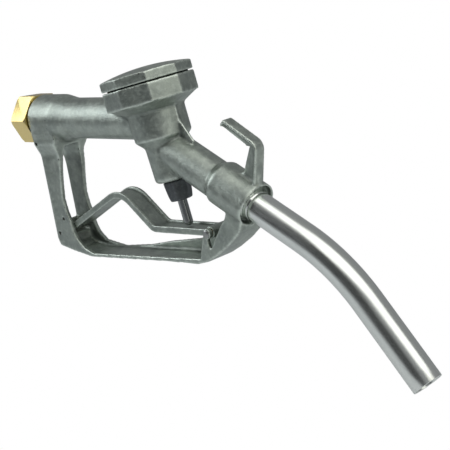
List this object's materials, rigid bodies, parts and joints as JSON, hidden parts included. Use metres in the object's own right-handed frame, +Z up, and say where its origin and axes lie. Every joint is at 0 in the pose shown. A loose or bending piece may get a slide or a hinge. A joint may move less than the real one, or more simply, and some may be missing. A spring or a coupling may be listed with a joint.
{
  "type": "fuel nozzle",
  "caption": "Manual fuel nozzle: cast body and hand guard, nine-sided cap over a poppet valve, squeeze lever, swivel hose nut and bent steel spout.",
  "frame": {"origin": "centre of the swivel nut's rear face, on the hose inlet axis", "axes": "+X along the inlet tube toward the spout, +Z up, +Y to the left when looking along +X; the spout falls away in -Z"},
  "size_m": [0.4267, 0.076, 0.2431],
  "materials": {
    "casting": "shot-blasted grey casting",
    "brass": "turned, bright",
    "spout": "polished",
    "steel": "ground",
    "gland": "black",
    "rubber": "matt"
  },
  "bodies": {
    "nozzle": {"body_casting": "casting", "guard_frame": "casting", "valve_cap": "casting", "cap_gasket": "rubber", "seat_ring": "brass", "stem_guide": "brass", "packing_washer": "steel", "stem_packing": "rubber", "gland_nut": "gland", "spout_tube": "spout", "spout_collar": "spout", "spout_o_rings": "rubber", "spout_snap_ring": "steel", "pivot_pin": "steel", "pin_washer": "steel", "inlet_tailpiece": "brass", "tailpiece_o_ring": "rubber", "hose_gasket": "rubber", "inlet_strainer": "steel", "main_spring": "steel"},
    "swivel": {"swivel_nut": "brass"},
    "lever": {"lever": "casting", "lever_bush": "brass"},
    "valve": {"valve_stem": "steel", "poppet_seal": "rubber", "poppet_disc": "brass", "valve_nut": "steel"}
  },
  "joints": [
    {"name": "nut_spin", "type": "hinge", "parent": "nozzle", "child": "swivel", "pos_m": [0, 0, 0], "axis": [1, 0, 0], "continuous": true},
    {"name": "lever_squeeze", "type": "hinge", "parent": "nozzle", "child": "lever", "pos_m": [0.2265, 0, -0.0896], "axis": [0, 1, 0], "range_deg": [0, 12]},
    {"name": "valve_lift", "type": "slide", "parent": "nozzle", "child": "valve", "axis": [-0.1626, 0, 0.9867], "range_m": [0, 0.0075], "stiffness_N_per_m": 900, "springref_m": -0.012, "deforming": ["main_spring"]}
  ],
  "couplings": [
    {"joint": "valve_lift", "follows": "lever_squeeze", "m_per_rad": 0.0354}
  ]
}
